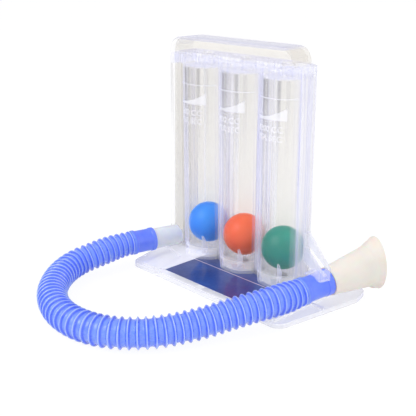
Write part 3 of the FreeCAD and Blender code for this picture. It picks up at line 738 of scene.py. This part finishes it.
def make_letters(name, side, words, height):
    """Plain raised letters: flat text made a mesh, then bent round the column."""
    text = bpy.data.curves.new(name, "FONT")
    text.body = words
    text.align_x = "CENTER"
    text.size = LETTER_TALL / CAPITAL_SHARE
    text.extrude = (MARK_PROUD + MARK_SINK) / 2
    text.resolution_u = 4
    holder = bpy.data.objects.new(name, text)
    bpy.context.scene.collection.objects.link(holder)
    mesh = bpy.data.meshes.new_from_object(holder)
    bpy.data.objects.remove(holder)
    flat = np.array([v.co for v in mesh.vertices])
    wide = flat[:, 0].max() - flat[:, 0].min()
    turn = flat[:, 0] * LINE_WIDE / wide / COLUMN_RADIUS
    proud = flat[:, 2] + (MARK_PROUD - MARK_SINK) / 2
    bent = wrapped(turn, height + flat[:, 1], proud, column_axis(side))
    mesh.vertices.foreach_set("co", bent.astype(np.float32).ravel())
    mesh.update()
    link(name, mesh, MARK_FINISH, "housing")


# The marks carry a painted lavender edge sheen and a faint painted glow
MARK_FINISH = clear_plastic("mark_clear", MARK_WHITE, PAINTED_SHEEN_LAVENDER, veil=0.4, rim=0.8, gloss=SOFT, glow=0.1)

for side, words in COLUMNS.items():
    make_wedge(side)
    make_ring(side)
    make_letters("flow_" + side, side, words, LINE_HEIGHTS[0])
    make_letters("rate_" + side, side, RATE_LINE, LINE_HEIGHTS[1])


# Finishes of the solids that stay as they are

def paint(material, *names):
    """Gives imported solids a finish."""
    for name in names:
        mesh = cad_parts[name].data
        mesh.materials.clear()
        mesh.materials.append(material)


# Clear parts: lavender edges are painted sheen, glow is painted light, and the column marks are painted
# bars of shade, painted reflections and painted highlights
FRONT_CLEAR = clear_plastic(
    "front_clear", CLEAR, EDGE_SHEEN_LAVENDER, veil=0.04, rim=0.85, marks=(0.62, 0.35, 0.25), glow=0.03)
REAR_CLEAR = clear_plastic(
    "rear_clear", WARM_CLEAR, EDGE_SHEEN_LAVENDER, veil=0.4, marks=(0.0, 0.4, 0.3), glow=0.03)
SEAT_CLEAR = clear_plastic("seat_clear", CLEAR, EDGE_SHEEN_LAVENDER, veil=0.18, rim=0.9, glow=0.28)
FOOT_CLEAR = clear_plastic("foot_clear", CLEAR, EDGE_SHEEN_LAVENDER, veil=0.2, rim=0.95, glow=0.25)
BASE_CLEAR = clear_plastic(
    "base_clear", BASE_MILK, BASE_EDGE_SHEEN, veil=0.5, rim=0.9, gloss=SATIN, glow=0.06)
HOLDER_CLEAR = clear_plastic("holder_clear", HOLDER_MILK, EDGE_SHEEN_LAVENDER, veil=0.35, rim=0.9)

paint(FRONT_CLEAR, "front_shell")
paint(REAR_CLEAR, "rear_shell")
paint(SEAT_CLEAR, *("seat_" + side for side in COLUMNS))
paint(FOOT_CLEAR, *("inlet_foot_" + side for side in COLUMNS))
paint(BASE_CLEAR, "base_plate")
paint(HOLDER_CLEAR, "tube_holder")
paint(frosted_plastic("nozzle_frost"), "nozzle")
paint(cuff_plastic(), "cuff_nozzle", "cuff_mouthpiece")
paint(ivory_plastic(), "mouthpiece")
paint(card_print(), "base_label")
for name, colour in BALL_COLOURS.items():
    paint(ball_plastic(name + "_plastic", colour), name)


# Stage

FLOOR_HALF = 6.0
FLOOR_WHITE = (0.9, 0.9, 0.9, 1)
FLOOR_GLOW = 1.06
SHADOW_SHARE = 0.12
SKY_STRENGTH = 0.8
# From the horizon up to straight overhead
SKY_BANDS = [
    (0.0, (1, 1, 1, 1)),
    (0.12, (0.95, 0.95, 0.97, 1)),
    (0.35, (0.56, 0.56, 0.70, 1)),
    (0.6, (0.6, 0.6, 0.75, 1)),
    (0.85, (1, 1, 1, 1)),
]


def make_floor():
    """A white floor that keeps a light shadow."""
    corners = np.array([(-1, -1, 0), (1, -1, 0), (1, 1, 0), (-1, 1, 0)]) * FLOOR_HALF
    mesh = bpy.data.meshes.new("floor")
    mesh.from_pydata(corners.tolist(), [], [(0, 1, 2, 3)])
    floor = bpy.data.objects.new("floor", mesh)
    bpy.context.scene.collection.objects.link(floor)
    finish = Finish("floor_white")
    finish.set(Base_Color=FLOOR_WHITE, Roughness=0.9)
    path = finish.node("ShaderNodeLightPath")
    straight = finish.combine("MAXIMUM", path.outputs["Is Camera Ray"], path.outputs["Is Transmission Ray"])
    seen = finish.combine("MAXIMUM", straight, path.outputs["Is Glossy Ray"])
    share = finish.ramp(seen, 0.0, 1.0, 0.0, 1 - SHADOW_SHARE)
    glow = finish.node("ShaderNodeEmission")
    glow.inputs["Strength"].default_value = FLOOR_GLOW
    mix = finish.node("ShaderNodeMixShader")
    finish.wire(share, mix.inputs["Fac"])
    finish.wire(finish.shader.outputs["BSDF"], mix.inputs[1])
    finish.wire(glow.outputs["Emission"], mix.inputs[2])
    finish.wire(mix.outputs["Shader"], finish.output.inputs["Surface"])
    mesh.materials.append(finish.material)
    floor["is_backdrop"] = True


def make_world():
    """A white room seen directly, and a lavender sky with a bright top for light and reflections."""
    world = bpy.data.worlds.new("studio")
    world.use_nodes = True
    bpy.context.scene.world = world
    nodes, links = world.node_tree.nodes, world.node_tree.links
    ground = nodes["Background"]
    place = nodes.new("ShaderNodeTexCoord")
    parts = nodes.new("ShaderNodeSeparateXYZ")
    links.new(place.outputs["Generated"], parts.inputs["Vector"])
    ramp = nodes.new("ShaderNodeValToRGB")
    links.new(parts.outputs["Z"], ramp.inputs["Fac"])
    fill_bands(ramp, SKY_BANDS)
    links.new(ramp.outputs["Color"], ground.inputs["Color"])
    ground.inputs["Strength"].default_value = SKY_STRENGTH
    white = nodes.new("ShaderNodeBackground")
    white.inputs["Color"].default_value = (1, 1, 1, 1)
    path = nodes.new("ShaderNodeLightPath")
    mix = nodes.new("ShaderNodeMixShader")
    links.new(path.outputs["Is Camera Ray"], mix.inputs["Fac"])
    links.new(ground.outputs["Background"], mix.inputs[1])
    links.new(white.outputs["Background"], mix.inputs[2])
    links.new(mix.outputs["Shader"], nodes["World Output"].inputs["Surface"])


def make_lamp(name, place, size, power):
    """A soft square lamp that faces the middle of the object."""
    data = bpy.data.lights.new(name, "AREA")
    data.size = size
    data.energy = power
    lamp = bpy.data.objects.new(name, data)
    lamp.location = place
    low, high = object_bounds()
    middle = [(a + b) / 2 for a, b in zip(low, high)]
    way = np.array(middle) - np.array(place)
    tip = math.atan2(math.hypot(way[0], way[1]), -way[2])
    lamp.rotation_euler = (tip, 0, math.atan2(-way[0], way[1]))
    bpy.context.scene.collection.objects.link(lamp)


make_floor()
make_world()
make_lamp("key", place=(-0.25, -0.75, 0.75), size=0.6, power=4.5)
make_lamp("fill", place=(0.8, -0.1, 0.45), size=0.7, power=2.0)
bpy.context.scene.view_settings.view_transform = "Standard"
